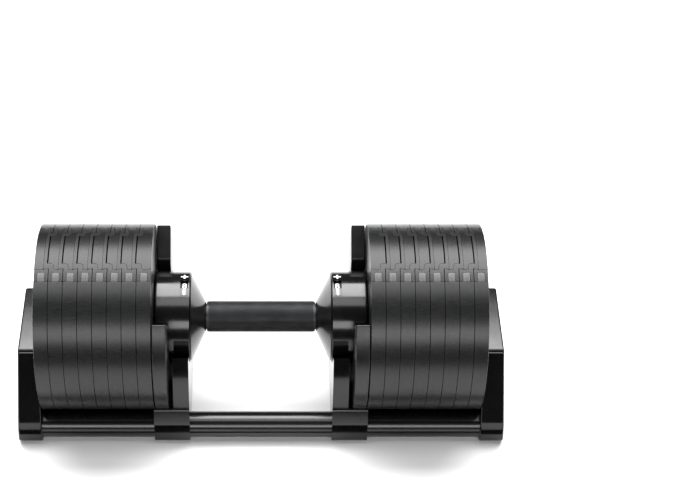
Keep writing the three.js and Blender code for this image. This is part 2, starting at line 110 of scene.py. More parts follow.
HOUSING_LOW, HOUSING_HIGH = box_mm("housing_right")
HOUSING_R = HOUSING_HIGH.y
HOUSING_WALL = 2.7
HOUSING_END = 6.0
ROD_SLOT_R = 9.8
PIN_SLOT_HALF = 2.8
PIN_SLOT_TOP = AXIS - 37
WINDOW_X = 75.4
WINDOW_SIZE = (7.8, 20.0)
WINDOW_TILT = math.radians(6.5)
SILL = math.radians(7.6)  # the window's cover fills it below this
SILL_T = 1.75
PLUS_TURN = math.radians(-14.2)
PLUS_ARM, PLUS_WIDTH = 3.5, 1.5
BAR_TURN = math.radians(13.3)
BAR_SIZE = (2.1, 7.2)
CONE_LOW, CONE_HIGH = box_mm("cone_right")
CONE_TIP_R = 14.6
CONE_WALL = 3.4

SPRING_LOW, SPRING_HIGH = box_mm("lock_spring_right")
SPRING_WIRE = 0.5
SPRING_TURNS = 5

DIAL_LOW, DIAL_HIGH = box_mm("number_dial_right")
DIAL_R = DIAL_HIGH.y
DIAL_RIM = 5.0
DIAL_WEB = 2.4
DIAL_HUB_R = 16.5
NOTCH_HALF = 2.5
NOTCH_DEPTH = 3.0
DIGIT = 6.6
DOT = 6.0
PRINT_T = 0.1
SETTINGS = 16

CRADLE_LOW, CRADLE_HIGH = box_mm("cradle_plate_right")
CRADLE_MOUTH = 47.0
CRADLE_TIP = math.radians(50.6)

STAND_LOW, STAND_HIGH = box_mm("inner_stand_right")
STAND_ARM_OUT = 86.6
STAND_LEAN = math.radians(65)
SADDLE_R = 46.0
BLOCK_HALF = STAND_HIGH.y
BLOCK_TOP_HALF = 75.0
BLOCK_SLOPE_Z = 29.0
BLOCK_TOP = 45.0
BLOCK_CORNERS = [8, 8, 9, 4, 4, 9]  # radii, from the front foot by the rear to the front shoulder

CAP_LOW, CAP_HIGH = box_mm("end_cap_right")
CAP_TOP_HALF = 45.0
CAP_OUT_X = 239.6
CAP_SHOULDER = 24.0
CAP_CORNERS = [8, 8, 40, 6, 6, 40]
CAP_WALL = 4.0

RAIL_LOW, RAIL_HIGH = box_mm("front_rail")
RAIL_Y = (RAIL_LOW.y + RAIL_HIGH.y) / 2
RAIL_Z = (RAIL_LOW.z + RAIL_HIGH.z) / 2
RAIL_R = (RAIL_HIGH.z - RAIL_LOW.z) / 2
RAIL_WALL = 2.2

LONG = 600.0  # longer than the object
FINE = 224  # segments of a large circle
BORE_SIDES = 128
RAIL_SIDES = 96


# ---- outlines ---------------------------------------------------------------------------------
def arc(radius, start, end, steps, centre=(0.0, 0.0)):
    """Points on a circle. The angle is taken from straight up, towards the first axis."""
    angles = [start + (end - start) * i / steps for i in range(steps + 1)]
    return [(centre[0] + radius * math.sin(a), centre[1] + radius * math.cos(a)) for a in angles]


def mirrored(outline):
    return [(-a, b) for a, b in reversed(outline)]


def rounded(corners, radii, steps=5):
    """The closed outline with each corner rounded. radii is one radius, or one for each corner."""
    if not hasattr(radii, "__len__"):
        radii = [radii] * len(corners)
    points = []
    for i, (corner, radius) in enumerate(zip(corners, radii)):
        here = Vector(corner)
        if radius == 0:
            points.append(tuple(here))
            continue
        back = (Vector(corners[i - 1]) - here).normalized()
        ahead = (Vector(corners[(i + 1) % len(corners)]) - here).normalized()
        half = back.angle(ahead) / 2
        centre = here + (back + ahead).normalized() * radius / math.sin(half)
        start = here + back * radius / math.tan(half) - centre
        end = here + ahead * radius / math.tan(half) - centre
        first = math.atan2(start.y, start.x)
        turn = (math.atan2(end.y, end.x) - first + math.pi) % (2 * math.pi) - math.pi
        for k in range(steps + 1):
            angle = first + turn * k / steps
            points.append((centre.x + radius * math.cos(angle),
                           centre.y + radius * math.sin(angle)))
    return points


# ---- solids -----------------------------------------------------------------------------------
def solid(bm, name="solid"):
    """A bmesh as an object of its own, facing out."""
    bmesh.ops.recalc_face_normals(bm, faces=bm.faces)
    mesh = bpy.data.meshes.new(name)
    bm.to_mesh(mesh)
    bm.free()
    made = bpy.data.objects.new(name, mesh)
    scene.collection.objects.link(made)
    return made


def pushed(outline, low, high, point):
    """The outline pushed from low to high; point(a, b, depth) places its corners."""
    bm = bmesh.new()
    ends = [[bm.verts.new(point(a, b, depth)) for a, b in outline] for depth in (low, high)]
    for end in ends:
        bm.faces.new(end)
    count = len(outline)
    for i in range(count):
        j = (i + 1) % count
        bm.faces.new((ends[0][i], ends[0][j], ends[1][j], ends[1][i]))
    return solid(bm)


def along_x(outline, low, high):
    return pushed(outline, low, high, lambda a, b, depth: (depth, a, b))


def along_z(outline, low, high):
    return pushed(outline, low, high, lambda a, b, depth: (a, b, depth))


def block(x, y, z):
    return along_z([(x[0], y[0]), (x[1], y[0]), (x[1], y[1]), (x[0], y[1])], *z)


def turned(profile, segments=FINE, centre=AXIS):
    """A closed profile of (radius, x) turned about the grip's axis."""
    bm = bmesh.new()
    rings = []
    for radius, x in profile:
        if radius == 0:
            rings.append([bm.verts.new((x, 0, centre))] * segments)
            continue
        circle = arc(radius, 0, 2 * math.pi, segments, (0, centre))[:-1]
        rings.append([bm.verts.new((x, y, z)) for y, z in circle])
    for i, ring in enumerate(rings):
        other = rings[(i + 1) % len(rings)]
        for j in range(segments):
            k = (j + 1) % segments
            corners = dict.fromkeys((ring[j], ring[k], other[k], other[j]))
            if len(corners) > 2:
                bm.faces.new(corners)
    return solid(bm)


def cylinder(radius, low, high, segments=FINE):
    return turned([(0, low), (radius, low), (radius, high), (0, high)], segments)


def settle(obj):
    """Applies the object's modifiers to its mesh."""
    graph = bpy.context.evaluated_depsgraph_get()
    mesh = bpy.data.meshes.new_from_object(obj.evaluated_get(graph))
    old = obj.data
    obj.modifiers.clear()
    obj.data = mesh
    bpy.data.meshes.remove(old)
    return obj


def discard(obj):
    mesh = obj.data
    bpy.data.objects.remove(obj)
    bpy.data.meshes.remove(mesh)


def combine(obj, other, operation):
    modifier = obj.modifiers.new("combine", "BOOLEAN")
    modifier.operation = operation
    modifier.object = other
    modifier.solver = "MANIFOLD"
    settle(obj)
    discard(other)
    return obj


def cut(obj, other):
    return combine(obj, other, "DIFFERENCE")


def join(obj, other):
    return combine(obj, other, "UNION")


def meet(obj, other):
    return combine(obj, other, "INTERSECT")


def bevel(obj, width, segments=2, angle=30):
    """Rounds every edge that turns by more than the angle."""
    modifier = obj.modifiers.new("bevel", "BEVEL")
    modifier.width = width
    modifier.segments = segments
    modifier.limit_method = "ANGLE"
    modifier.angle_limit = math.radians(angle)
    modifier.use_clamp_overlap = True
    return settle(obj)


# ---- materials --------------------------------------------------------------------------------
NOISE_SPAN = (0.3, 0.7)  # where most of a noise texture's values lie


class Look:
    """A Principled material, with short ways to add grain, variation and bump."""

    def __init__(self, name, colour, roughness, metallic=0.0, specular=0.5):
        self.material = bpy.data.materials.new(name)
        self.material.use_nodes = True
        self.nodes = self.material.node_tree.nodes
        self.links = self.material.node_tree.links
        self.shader = self.nodes["Principled BSDF"]
        self.colour = colour
        self.shader.inputs["Base Color"].default_value = (*colour, 1)
        self.shader.inputs["Roughness"].default_value = roughness
        self.shader.inputs["Metallic"].default_value = metallic
        self.shader.inputs["Specular IOR Level"].default_value = specular
        self.height = None

    def node(self, kind, **values):
        made = self.nodes.new(kind)
        for key, value in values.items():
            if key in made.inputs:
                made.inputs[key].default_value = value
            else:
                setattr(made, key, value)
        return made

    def noise(self, scale, stretch=(1, 1, 1), detail=3.0):
        """Noise in the object's own metres: scale is features for each metre."""
        where = self.node("ShaderNodeTexCoord")
        mapping = self.node("ShaderNodeMapping")
        mapping.inputs["Scale"].default_value = stretch
        texture = self.node("ShaderNodeTexNoise", Scale=scale, Detail=detail, Roughness=0.6)
        self.links.new(where.outputs["Object"], mapping.inputs["Vector"])
        self.links.new(mapping.outputs["Vector"], texture.inputs["Vector"])
        return texture.outputs["Fac"]

    def ranged(self, source, low=0.0, high=1.0):
        """A texture's values, stretched to run from low to high."""
        made = self.node("ShaderNodeMapRange")
        made.inputs["From Min"].default_value, made.inputs["From Max"].default_value = NOISE_SPAN
        made.inputs["To Min"].default_value, made.inputs["To Max"].default_value = low, high
        self.links.new(source, made.inputs["Value"])
        return made.outputs["Result"]

    def spread(self, source, low, high, socket):
        """Maps a texture's values onto a shader socket, from low to high."""
        self.links.new(self.ranged(source, low, high), self.shader.inputs[socket])
        return self

    def tint(self, source, dark, light):
        """Varies the base colour from dark to light times itself."""
        mix = self.node("ShaderNodeMix", data_type="RGBA")
        mix.inputs[6].default_value = (*[c * dark for c in self.colour], 1)
        mix.inputs[7].default_value = (*[c * light for c in self.colour], 1)
        self.links.new(self.ranged(source), mix.inputs["Factor"])
        self.links.new(mix.outputs[2], self.shader.inputs["Base Color"])
        return self

    def bump(self, source, depth, strength):
        """Raises the surface by depth metres where the texture is high. Calls add up."""
        bump = self.node("ShaderNodeBump", Strength=strength, Distance=depth)
        self.links.new(source, bump.inputs["Height"])
        if self.height is not None:
            self.links.new(self.height, bump.inputs["Normal"])
        self.height = bump.outputs["Normal"]
        self.links.new(self.height, self.shader.inputs["Normal"])
        return self


COATING = (0.0055, 0.0057, 0.0060)


def steel_plate_look(name="coated_steel", specular=0.4):
    look = Look(name, COATING, 0.29, specular=specular)
    grain = look.noise(1500, detail=2)
    streaks = look.noise(70, stretch=(1.6, 14, 14))
    look.bump(grain, 0.00005, 0.55)
    look.spread(streaks, 0.27, 0.34, "Roughness")
    return look.tint(streaks, 0.85, 1.2).material


def cradle_look():
    look = Look("cradle_plastic", COATING, 0.29, specular=0.4)
    look.bump(look.noise(1500, detail=2), 0.00005, 0.55)
    look.spread(look.noise(90), 0.27, 0.34, "Roughness")
    return look.tint(look.noise(30), 0.85, 1.15).material


def liner_look():
    look = Look("liner_nylon", (0.008, 0.008, 0.0085), 0.36, specular=0.28)
    look.bump(look.noise(1100), 0.00004, 0.5)
    look.spread(look.noise(160, stretch=(1, 3, 1)), 0.33, 0.41, "Roughness")
    return look.tint(look.noise(120), 0.8, 1.25).material


def gloss_look():
    look = Look("housing_gloss", (0.003, 0.003, 0.0033), 0.18, specular=0.5)
    look.bump(look.noise(60, detail=1), 0.00008, 0.25)
    look.bump(look.noise(900), 0.000006, 0.4)
    return look.spread(look.noise(45), 0.13, 0.2, "Roughness").material


def tray_look():
    look = Look("tray_plastic", (0.0025, 0.0025, 0.0028), 0.12, specular=0.42)
    look.bump(look.noise(700), 0.00002, 0.5)
    look.bump(look.noise(25, detail=1), 0.0003, 0.2)
    look.spread(look.noise(35), 0.1, 0.15, "Roughness")
    return look.tint(look.noise(20), 0.85, 1.2).material


def rail_look():
    look = Look("rail_paint", (0.004, 0.004, 0.0045), 0.16, specular=0.5)
    look.bump(look.noise(500), 0.00001, 0.6)
    look.spread(look.noise(30, stretch=(0.3, 1, 1)), 0.17, 0.25, "Roughness")
    return look.material


def knurl_look():
    look = Look("knurled_steel", (0.045, 0.046, 0.048), 0.38, metallic=0.75)
    look.spread(look.noise(300), 0.33, 0.46, "Roughness")
    return look.tint(look.noise(60), 0.75, 1.25).material


def worn_look():
    look = Look("knurl_crests", (0.13, 0.13, 0.135), 0.33, metallic=0.85)
    look.spread(look.noise(500), 0.28, 0.42, "Roughness")
    return look.tint(look.noise(80), 0.7, 1.3).material


def bare_steel_look():
    look = Look("bare_steel", (0.48, 0.48, 0.5), 0.32, metallic=1.0)
    look.spread(look.noise(80, stretch=(1, 12, 12)), 0.25, 0.4, "Roughness")
    return look.tint(look.noise(200), 0.9, 1.05).material


def dial_look():
    look = Look("dial_plastic", (0.004, 0.004, 0.004), 0.5, specular=0.3)
    look.bump(look.noise(900), 0.00002, 0.4)
    return look.spread(look.noise(80), 0.45, 0.6, "Roughness").material


def print_look():
    look = Look("white_print", (0.8, 0.8, 0.8), 0.5)
    look.spread(look.noise(900), 0.45, 0.6, "Roughness")
    return look.tint(look.noise(700), 0.92, 1.0).material


def rubber_look():
    look = Look("rubber", (0.02, 0.02, 0.02), 0.75, specular=0.3)
    look.bump(look.noise(900), 0.00005, 0.7)
    look.spread(look.noise(120), 0.68, 0.85, "Roughness")
    return look.tint(look.noise(60), 0.8, 1.2).material


LOOKS = {
    "plate": steel_plate_look(),
    "liner": liner_look(),
    "shell": gloss_look(),
    "tray": tray_look(),
    "rail": rail_look(),
    "grip": knurl_look(),
    "steel": bare_steel_look(),
    "dial": dial_look(),
    "rubber": rubber_look(),
}
CRADLE, CRESTS, PRINT = cradle_look(), worn_look(), print_look()
# Copies of the plate's steel with less and more specular: painted shade on the tongue's top and a painted
# highlight on the webs' tops.
SHADED_TONGUE = steel_plate_look("tongue_steel_painted_shade", 0.27)
LIT_WEB_TOPS = steel_plate_look("web_steel_painted_highlight", 0.62)


# ---- pieces -----------------------------------------------------------------------------------
def place(obj, matrix):
    """Moves a solid's mesh; a mirrored one is turned right side out."""
    obj.data.transform(matrix)
    if matrix.determinant() < 0:
        obj.data.flip_normals()
    return obj


def copy_of(obj):
    made = bpy.data.objects.new(obj.name, obj.data.copy())
    scene.collection.objects.link(made)
    return made


def on_side(obj, side):
    """The right-hand solid, mirrored if it is for the left."""
    return obj if side > 0 else place(obj, Matrix.Diagonal((-1, 1, 1, 1)))


RIM_NEAR = 0.00004  # metres from the rim's radius that still count as on it
RIM_FACING = 0.85  # cosine of how far a rim's face may turn from facing straight out


def true_normals(obj, radius):
    """Gives the rim's own round surface exact normals, whatever its faces."""
    mesh = obj.data
    normals = [corner.vector.copy() for corner in mesh.corner_normals]
    for polygon in mesh.polygons:
        facing = polygon.normal
        for loop in polygon.loop_indices:
            point = mesh.vertices[mesh.loops[loop].vertex_index].co
            out = Vector((0, point.y, point.z - AXIS / METRE))
            on_rim = abs(out.length - radius) < RIM_NEAR
            if on_rim and facing.dot(out) > RIM_FACING * out.length:
                normals[loop] = out.normalized()
    mesh.normals_split_custom_set(normals)


def finished(obj, name, body, looks, smooth=32, rim=0):
    """Turns a solid in millimetres into a piece in metres that rides on a body."""
    place(obj, Matrix.Scale(1 / METRE, 4))
    obj.name = obj.data.name = name
    obj.data.materials.clear()
    for look in looks:
        obj.data.materials.append(look)
    obj.data.shade_smooth()
    obj.data.set_sharp_from_angle(angle=math.radians(smooth))
    modifier = obj.modifiers.new("normals", "WEIGHTED_NORMAL")
    modifier.keep_sharp = True
    settle(obj)
    if rim:
        true_normals(obj, rim / METRE)
    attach(obj, body)
    return obj


def stands_for(obj, node, looks=None, smooth=32, rim=0):
    """A finished piece that replaces the CAD node of that name."""
    slot = SLOT_OF[node]
    made = finished(obj, f"{node}_shape", BODY_OF[node], looks or [LOOKS[slot]], smooth, rim)
    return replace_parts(made, node)


# ---- weight plates and liners -----------------------------------------------------------------
# Plans are (s, y), where s is the depth inwards from a plate's outer face.
def both_halves(points):
    """The half of an outline where y is positive, and its mirror image."""
    return points + [(s, -y) for s, y in reversed(points)]


def upright(outline, radii):
    """An outline of the plan as a post whose top follows the plate's rim."""
    post = along_z(rounded(outline, radii), SLOT_FLOOR - 1, AXIS + PLATE_R + 1)
    return meet(post, cylinder(PLATE_R, -2 * PITCH, 2 * PITCH))


def plate_shape(kind):
    """The first plate's tongue reaches its inner face, and the last plate's its outer face."""
    soft = [(PLATE_R - 0.4, 0), (PLATE_R - 0.12, 0.12), (PLATE_R, 0.4)]
    rim = soft + [(radius, PLATE_T - s) for radius, s in reversed(soft)]
    drum = turned([(ROD_HOLE_R, 0), *rim, (ROD_HOLE_R, PLATE_T)])
    cut(drum, block((-1, PITCH), (-SLOT_HALF, SLOT_HALF), (SLOT_FLOOR, AXIS + PLATE_R + 1)))
    web = [
        (WEB[0], WEB_TOP),
        (WEB[0], SLOT_HALF + 1),
        (WEB[1], SLOT_HALF + 1),
        (WEB[1], WEB_TOP),
    ]
    for sign in (1, -1):
        join(drum, upright([(s, sign * y) for s, y in web], [WEB_CORNER, 0, 0, WEB_CORNER]))
    if kind == "last":
        stem = upright([(0, -FOOT_HALF), (TONGUE_IN, -FOOT_HALF), (TONGUE_IN, FOOT_HALF),
                        (0, FOOT_HALF)], [0, 0.6, 0.6, 0])
        room = SLOT_FLOOR + BRIDGE + 2 * GAP
        cut(stem, block((-1, WEB[0] - GAP), (-SLOT_HALF, SLOT_HALF), (0, room)))
        return join(drum, stem)
    tongue = [
        (TONGUE_OUT, TONGUE_HALF),
        (FOOT_OUT, TONGUE_HALF),
        (FOOT_OUT, FOOT_HALF),
        (TONGUE_IN, FOOT_HALF),
    ]
    radii = [0.6, HOOK_R + GAP, 1.6, 0.6]
    if kind == "first":
        tongue.append((PLATE_T, KEY_NECK_HALF))
        radii = radii[:-1] + [0, 0]
    join(drum, upright(both_halves(tongue), radii + radii[::-1]))
    return cut(drum, block((-PITCH, 0), (-SLOT_HALF, SLOT_HALF), (0, SLOT_FLOOR + GAP)))


def liner_shape(kind):
    """The liner in a plate's slot, with the key that reaches out into the next plate's slot."""
    inner = PLATE_T - LINER_INSET
    legs = [
        (LINER_INSET, SLOT_HALF - GAP),
        (WEB[0] - GAP, SLOT_HALF - GAP),
        (WEB[0] - GAP, WEB_TOP - GAP),
        (WEB[1] + GAP, WEB_TOP - GAP),
        (WEB[1] + GAP, SLOT_HALF - GAP),
        (inner, SLOT_HALF - GAP),
        (inner, KEY_NECK_HALF + GAP),
        (PITCH + KEY_TIP, KEY_TIP_HALF + 2 * GAP),
    ]
    leg_radii = [0.5, 0.5, 1.7, 1.7, 0.5, 0.5, 0.8, 0.5]
    top = AXIS + PLATE_R + 1
    rim = cylinder(PLATE_R, -2 * PITCH, 2 * PITCH)
    if kind == "last":
        leg = [(LINER_INSET, KEY_TIP_HALF + 2 * GAP), *legs]
        radii = [0.5, *leg_radii]
        made = along_z(rounded(leg, radii), SLOT_FLOOR + GAP, top)
        other = [(s, -y) for s, y in leg]
        join(made, along_z(rounded(other, radii), SLOT_FLOOR + GAP, top))
        meet(made, rim)
        bridge = block((LINER_INSET, WEB[0] - 2 * GAP), (-KEY_TIP_HALF - 1, KEY_TIP_HALF + 1),
                       (SLOT_FLOOR + GAP, SLOT_FLOOR + GAP + BRIDGE))
        return join(made, bridge)
    front = [
        (KEY_TIP, KEY_TIP_HALF),
        (LINER_INSET, KEY_NECK_HALF),
        *legs,
        (FOOT_OUT - GAP, FOOT_HALF + GAP),
        (FOOT_OUT - GAP, TONGUE_HALF + GAP),
        (KEY_BACK, TONGUE_HALF + GAP),
    ]
    radii = [0.7, 0.6, *leg_radii, 1.9, HOOK_R, 0.3]
    made = along_z(rounded(both_halves(front), radii + radii[::-1]), SLOT_FLOOR + GAP, top)
    return meet(made, rim)


def kind_of(index):
    return "first" if index == 0 else "last" if index == PLATES - 1 else "middle"


def dress_plate(plate):
    """Gives the tongue's top a painted shade and the webs' tops a painted highlight, through copies of the plate's
    steel with less and more specular.
    """
    mesh = plate.data
    mesh.materials.append(SHADED_TONGUE)
    mesh.materials.append(LIT_WEB_TOPS)
    for face in mesh.polygons:
        reach = abs(face.center.y) * METRE
        high = math.hypot(face.center.y, face.center.z - AXIS / METRE) * METRE > PLATE_R - 0.5
        if high and face.center.z > AXIS / METRE and reach < SLOT_HALF:
            face.material_index = 1 if reach < WEB_TOP - 1 else 2


def build_stacks():
    shapes = {kind: (plate_shape(kind), liner_shape(kind)) for kind in ("first", "middle", "last")}
    for name, side in SIDES:
        for i in range(PLATES):
            outer = STACK_X + (i + 1) * PITCH - GAP
            to_side = Matrix.Translation((side * outer, 0, 0)) @ Matrix.Diagonal((-side, 1, 1, 1))
            plate, liner = (place(copy_of(shape), to_side) for shape in shapes[kind_of(i)])
            dress_plate(stands_for(plate, f"plate_{name}_{i + 1}", rim=PLATE_R))
            stands_for(liner, f"liner_{name}_{i + 1}", rim=PLATE_R)
    for pair in shapes.values():
        for shape in pair:
            discard(shape)


# ---- handle -----------------------------------------------------------------------------------
def about_axis(angle):
    """Lifts a shape built round X = 0, Y = 0 to the grip's axis, turned about it."""
    return Matrix.Translation((0, 0, AXIS)) @ Matrix.Rotation(angle, 4, "X")


def knurled_grip():
    """A tube whose outside is a lattice of blunt diamonds; their tops take the second material."""
    bm = bmesh.new()
    valley = GRIP_R - KNURL_DEPTH
    edge = GRIP_HALF - PLAIN_END
    step = 2 * edge / (2 * KNURLS_ALONG)

    def at(x, turn, radius):
        angle = 2 * math.pi * turn / KNURLS_ROUND
        return bm.verts.new((x, radius * math.sin(angle), AXIS + radius * math.cos(angle)))

    def ring(x, radius):
        return [at(x, j, radius) for j in range(KNURLS_ROUND)]

    def skin(rings):
        for near, far in zip(rings, rings[1:]):
            for j in range(KNURLS_ROUND):
                k = (j + 1) % KNURLS_ROUND
                bm.faces.new((near[j], near[k], far[k], far[j]))

    columns = [
        [at(-edge + k * step, j + 0.5 * (k % 2), valley) for j in range(KNURLS_ROUND)]
        for k in range(2 * KNURLS_ALONG + 1)
    ]
    for k in range(1, 2 * KNURLS_ALONG):
        x = -edge + k * step
        for j in range(KNURLS_ROUND):
            middle = j + 0.5 + 0.5 * (k % 2)
            beside = (j + 1) % KNURLS_ROUND
            across = beside if k % 2 else j
            base = [columns[k][j], columns[k + 1][across],
                    columns[k][beside], columns[k - 1][across]]
            top = [
                at(x, middle - 0.5 * KNURL_TOP, GRIP_R),
                at(x + KNURL_TOP * step, middle, GRIP_R),
                at(x, middle + 0.5 * KNURL_TOP, GRIP_R),
                at(x - KNURL_TOP * step, middle, GRIP_R),
            ]
            bm.faces.new(top).material_index = 1
            for a in range(4):
                b = (a + 1) % 4
                bm.faces.new((base[a], base[b], top[b], top[a]))
    for end, inner in ((0, 1), (2 * KNURLS_ALONG, 2 * KNURLS_ALONG - 1)):
        for j in range(KNURLS_ROUND):
            bm.faces.new((columns[end][j], columns[end][(j + 1) % KNURLS_ROUND], columns[inner][j]))
    plain_r = GRIP_R - 0.15
    bores = []
    for sign, last in ((-1, columns[0]), (1, columns[-1])):
        rings = [
            last,
            ring(sign * (edge + 0.3), plain_r),
            ring(sign * (GRIP_HALF - GRIP_CHAMFER), plain_r),
            ring(sign * GRIP_HALF, plain_r - GRIP_CHAMFER),
            ring(sign * GRIP_HALF, NECK_R),
            ring(sign * GRIP_HIGH.x, NECK_R),
            ring(sign * GRIP_HIGH.x, ROD_HOLE_R),
        ]
        skin(rings)
        bores.append(rings[-1])
    skin(bores[::-1])
    return solid(bm)


def housing_shape(side):
    """A cup with a window in its top, and slots in it for the lock pin and the rod."""
    wall, end = HOUSING_R - HOUSING_WALL, HOUSING_HIGH.x - HOUSING_END
    low, high = HOUSING_LOW.x, HOUSING_HIGH.x
    shoulder, lip = 2.4, 0.9
    outside = [(HOUSING_R - lip + y, low + lip - z) for y, z in arc(lip, 0, math.pi / 2, 4)]
    outside += [
        (HOUSING_R - shoulder + z, high - shoulder + y) for y, z in arc(shoulder, 0, math.pi / 2, 8)
    ]
    cup = turned([(0, end), (wall, end), (wall, low), *outside, (0, high)])
    opening = rounded(
        [(WINDOW_X + a * WINDOW_SIZE[0] / 2, b * WINDOW_SIZE[1] / 2)
         for a, b in ((-1, -1), (1, -1), (1, 1), (-1, 1))], 1.0)
    window = along_z(opening, HOUSING_R - 8, HOUSING_R + 4)
    cut(cup, place(window, about_axis(WINDOW_TILT)))
    pin_slot = block((SPRING_LOW.x, SPRING_HIGH.x), (-PIN_SLOT_HALF, PIN_SLOT_HALF),
                     (0, PIN_SLOT_TOP))
    cut(cup, pin_slot)
    half = arc(ROD_SLOT_R, 0, side * math.pi, 24, (0, AXIS))
    cut(cup, along_x(half, end - 4, high + 4))
    return bevel(cup, 0.3, angle=50)


def sill_shape():
    """The gloss cover of the window's lower half, curved as the housing is."""
    end = WINDOW_TILT + (WINDOW_SIZE[1] / 2 - 0.1) / HOUSING_R
    outer = HOUSING_R - 0.15
    inner = outer - SILL_T
    outline = arc(outer, -end, -SILL, 16, (0, AXIS)) + arc(inner, -SILL, -end, 16, (0, AXIS))
    half = WINDOW_SIZE[0] / 2 - 0.12
    return bevel(along_x(outline, WINDOW_X - half, WINDOW_X + half), 0.15)


def thicken(bm, height):
    """Raises a second layer over the flat faces at z = 0, and closes its sides."""
    made = bmesh.ops.extrude_face_region(bm, geom=bm.faces[:])
    for vertex in (v for v in made["geom"] if isinstance(v, bmesh.types.BMVert)):
        vertex.co.z = height


def round_rim(x, y, radius, turn, reach):
    """The point y along a rim from the angle turn, and reach from the grip's axis."""
    angle = turn - y / radius
    return x, -reach * math.sin(angle), AXIS + reach * math.cos(angle)


def wrapped(outline, radius, turn, height=0.12):
    """A flat mark (x, distance along the rim) laid on a cylinder and given a small thickness."""
    bm = bmesh.new()
    bm.faces.new([bm.verts.new((x, y, 0)) for x, y in outline])
    spans = [y for _, y in outline]
    low, high = min(spans), max(spans)
    count = max(2, math.ceil((high - low) / 0.6))
    for i in range(1, count):
        middle = low + (high - low) * i / count
        geometry = bm.verts[:] + bm.edges[:] + bm.faces[:]
        bmesh.ops.bisect_plane(bm, geom=geometry, plane_co=(0, middle, 0), plane_no=(0, 1, 0))
    thicken(bm, height)
    for vertex in bm.verts:
        x, y, z = vertex.co
        vertex.co = round_rim(x, y, radius, turn, radius + z)
    return solid(bm)


def stroke(x, y, width, length):
    return rounded([(x - width / 2, y - length / 2), (x + width / 2, y - length / 2),
                    (x + width / 2, y + length / 2), (x - width / 2, y + length / 2)], 0.2, 2)


def plus_mark(side):
    """A plus over the window: turning the grip that way adds plates."""
    arm, half = PLUS_ARM, PLUS_WIDTH / 2
    across = [(-arm, -half), (-half, -half), (-half, -arm), (half, -arm), (half, -half),
              (arm, -half), (arm, half), (half, half), (half, arm), (-half, arm), (-half, half),
              (-arm, half)]
    placed = [(side * WINDOW_X + x, y) for x, y in across]
    return wrapped(placed, HOUSING_R + 0.01, PLUS_TURN)


def index_mark(side):
    """The bar under the number, printed on the window's cover."""
    bar = stroke(side * WINDOW_X, 0, *BAR_SIZE)
    return wrapped(bar, HOUSING_R - 0.14, BAR_TURN, 0.08)


def text_shape(text, height):
    """A digit as flat faces, from Blender's own font, centred."""
    curve = bpy.data.curves.new("digit", "FONT")
    curve.body = text
    curve.size = height / 0.7
    curve.align_x = curve.align_y = "CENTER"
    curve.resolution_u = 6
    holder = bpy.data.objects.new("digit", curve)
    scene.collection.objects.link(holder)
    graph = bpy.context.evaluated_depsgraph_get()
    mesh = bpy.data.meshes.new_from_object(holder.evaluated_get(graph))
    bpy.data.objects.remove(holder)
    bpy.data.curves.remove(curve)
    return mesh


def dial_marks(side):
    """The numbers 8 to 1 at every second setting, with a dot between them."""
    bm = bmesh.new()
    step = 2 * math.pi / SETTINGS
    for setting in range(SETTINGS):
        whole = setting % 2 == 0
        if whole:
            mesh = text_shape(str(PLATES - setting // 2), DIGIT)
        else:
            mesh = text_shape("•", DOT)
        mark = bmesh.new()
        mark.from_mesh(mesh)
        bpy.data.meshes.remove(mesh)
        middle = sum((v.co for v in mark.verts), Vector()) / len(mark.verts)
        thicken(mark, PRINT_T)
        for vertex in mark.verts:
            x, y = vertex.co.x - middle.x, (vertex.co.y - middle.y) * 1.1
            vertex.co = round_rim(side * (WINDOW_X - 0.2) + x, y, DIAL_R, -setting * step,
                                  DIAL_R + 0.01 + vertex.co.z)
        part = bpy.data.meshes.new("mark")
        mark.to_mesh(part)
        mark.free()
        bm.from_mesh(part)
        bpy.data.meshes.remove(part)
    return solid(bm)


def dial_shape():
    low, high = DIAL_LOW.x, DIAL_HIGH.x
    rim = DIAL_R - DIAL_RIM
    blank = turned([(NECK_R + GAP, low), (DIAL_R, low), (DIAL_R, high), (rim, high),
                    (rim, low + DIAL_WEB), (DIAL_HUB_R, low + DIAL_WEB), (DIAL_HUB_R, high),
                    (NECK_R + GAP, high)], BORE_SIDES)
    for i in range(SETTINGS):
        notch = block((low + DIAL_WEB, high + 5), (-NOTCH_HALF, NOTCH_HALF),
                      (-rim - NOTCH_DEPTH, -rim + NOTCH_DEPTH))
        cut(blank, place(notch, about_axis(2 * math.pi * i / SETTINGS)))
    return bevel(blank, 0.25, angle=40)


def cone_shape():
    low, high, radius = CONE_LOW.x, CONE_HIGH.x, CONE_HIGH.y
    bore = NECK_R + 0.4
    lip = 0.8
    outside = [(CONE_TIP_R, low), (CONE_TIP_R + 0.5, low + 0.12), (radius - lip, high - lip),
               (radius - 0.2, high - 0.4), (radius, high)]
    return turned([(bore, low), *outside, (radius - CONE_WALL, high), (bore, low + 1.6)])


def coil(radius, wire, turns, low, high, x):
    """A spring round a vertical line."""
    bm = bmesh.new()
    fineness, sides = 20, 8
    steps = turns * fineness
    rings = []
    for i in range(steps + 1):
        angle = 2 * math.pi * i / fineness
        centre = Vector((x + radius * math.cos(angle), radius * math.sin(angle),
                         low + (high - low) * i / steps))
        out, up = Vector((math.cos(angle), math.sin(angle), 0)), Vector((0, 0, 1))
        rings.append([bm.verts.new(centre + wire * (out * math.cos(a) + up * math.sin(a)))
                      for a in (2 * math.pi * k / sides for k in range(sides))])
    for near, far in zip(rings, rings[1:]):
        for k in range(sides):
            bm.faces.new((near[k], near[(k + 1) % sides], far[(k + 1) % sides], far[k]))
    bm.faces.new(rings[0])
    bm.faces.new(rings[-1])
    return solid(bm)


